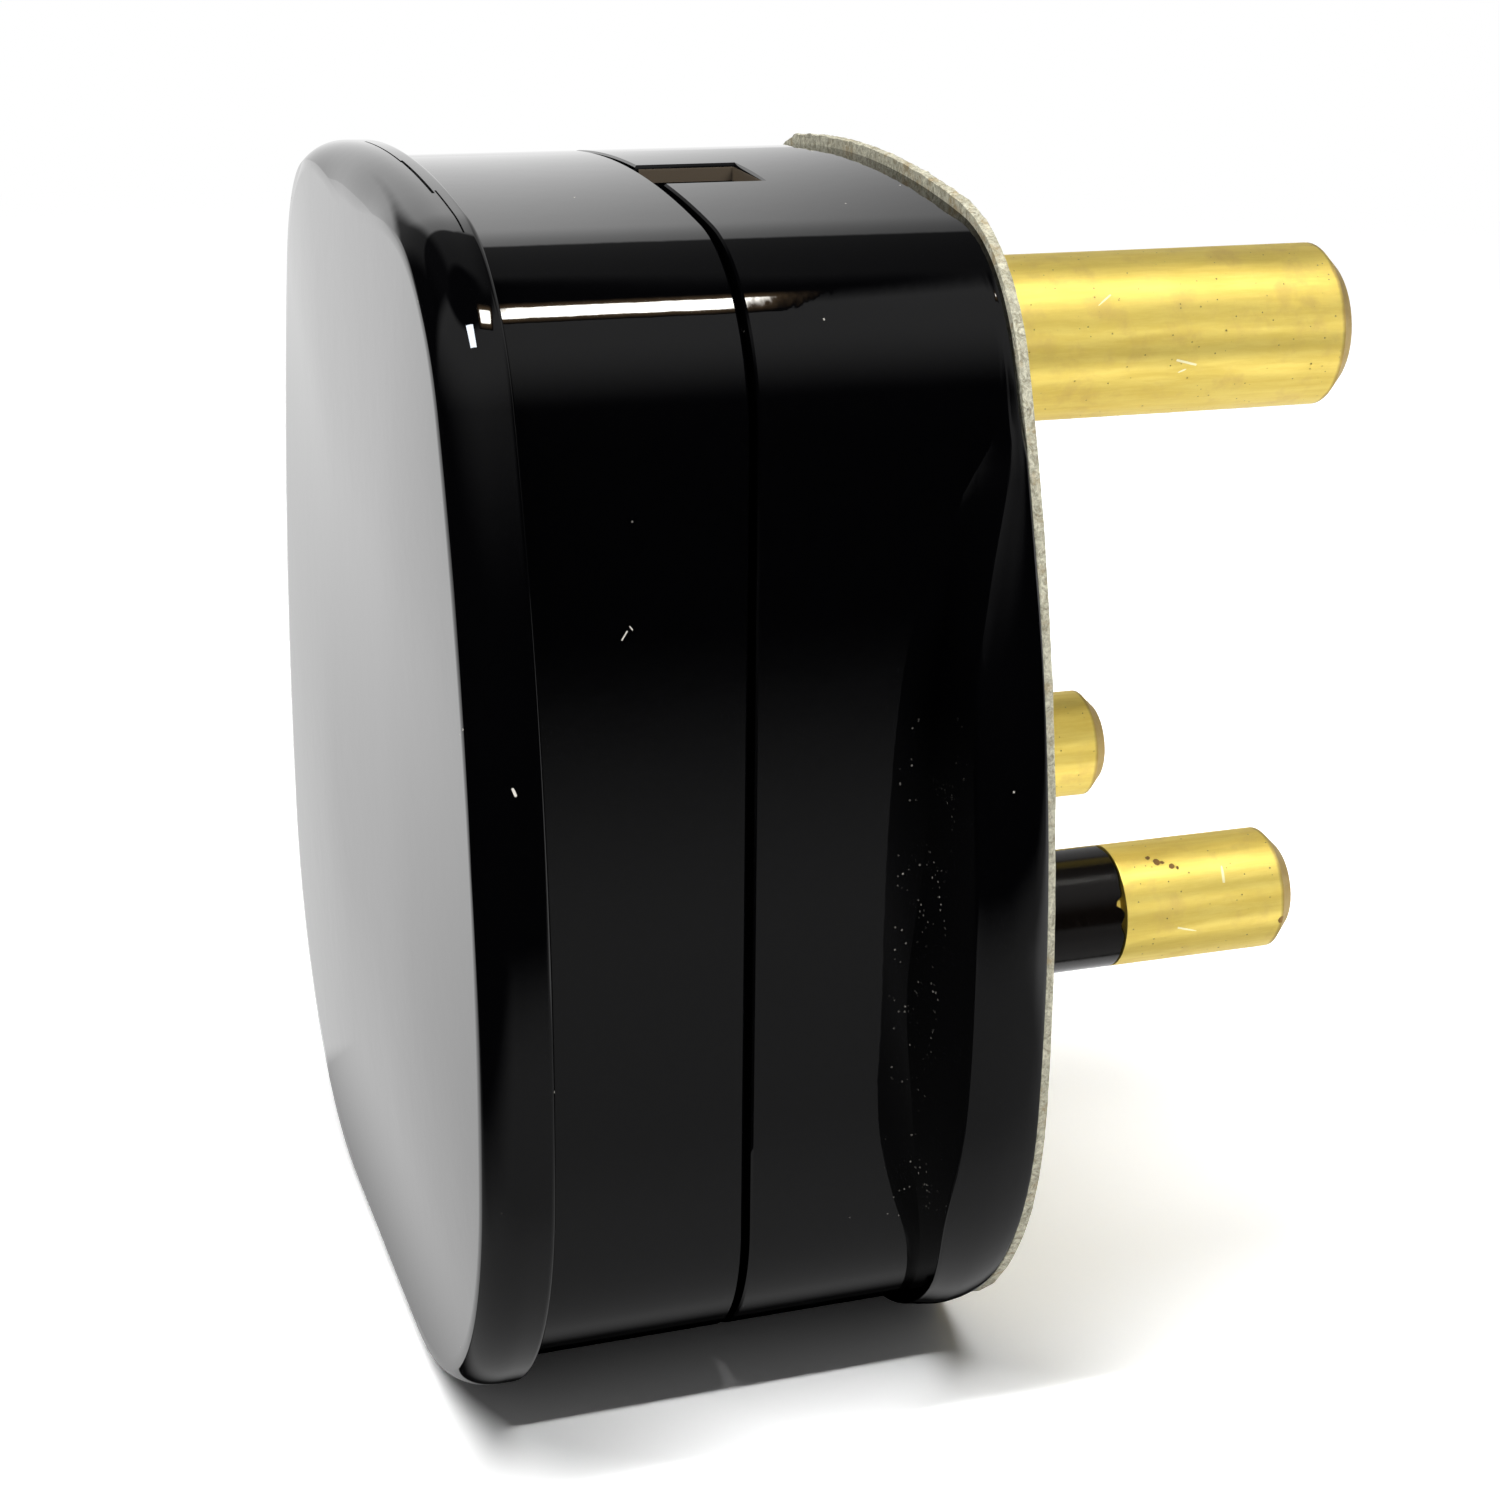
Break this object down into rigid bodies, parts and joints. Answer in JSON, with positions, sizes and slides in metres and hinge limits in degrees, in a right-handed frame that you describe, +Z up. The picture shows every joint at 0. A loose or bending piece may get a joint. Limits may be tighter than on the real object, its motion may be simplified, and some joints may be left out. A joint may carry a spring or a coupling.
{
  "type": "type d plug",
  "caption": "Round-pin mains plug: glossy black moulded base and cover, brass pins with sleeves at the root of the short pins, and a fibre card over the pin face.",
  "frame": {"origin": "on the axis of the earth pin, in the outer face of the card that meets the socket", "axes": "+X out along the pins, +Y across the plug towards the neutral pin, +Z up from the cord end to the earth pin"},
  "size_m": [0.0428, 0.0424, 0.0474],
  "materials": {
    "body": "glossy black moulding",
    "card": "grey fibre card with rough edges",
    "brass": "turned brass with small spots",
    "sleeve": "black insulating sleeve",
    "fibre_bar": "brown fibre",
    "brass_screw": "machined brass",
    "steel_screw": "plated steel"
  },
  "bodies": {
    "root": {"base": "body", "cover": "body", "pin_face_card": "card", "earth_pin": "brass", "line_pin": "brass", "neutral_pin": "brass", "line_sleeve": "sleeve", "neutral_sleeve": "sleeve", "cover_nut": "brass", "cord_grip_bar": "fibre_bar", "earth_terminal_screw": "brass_screw", "line_terminal_screw": "brass_screw", "neutral_terminal_screw": "brass_screw", "cover_screw": "steel_screw", "cord_grip_screw_near": "steel_screw", "cord_grip_screw_far": "steel_screw"}
  },
  "joints": []
}
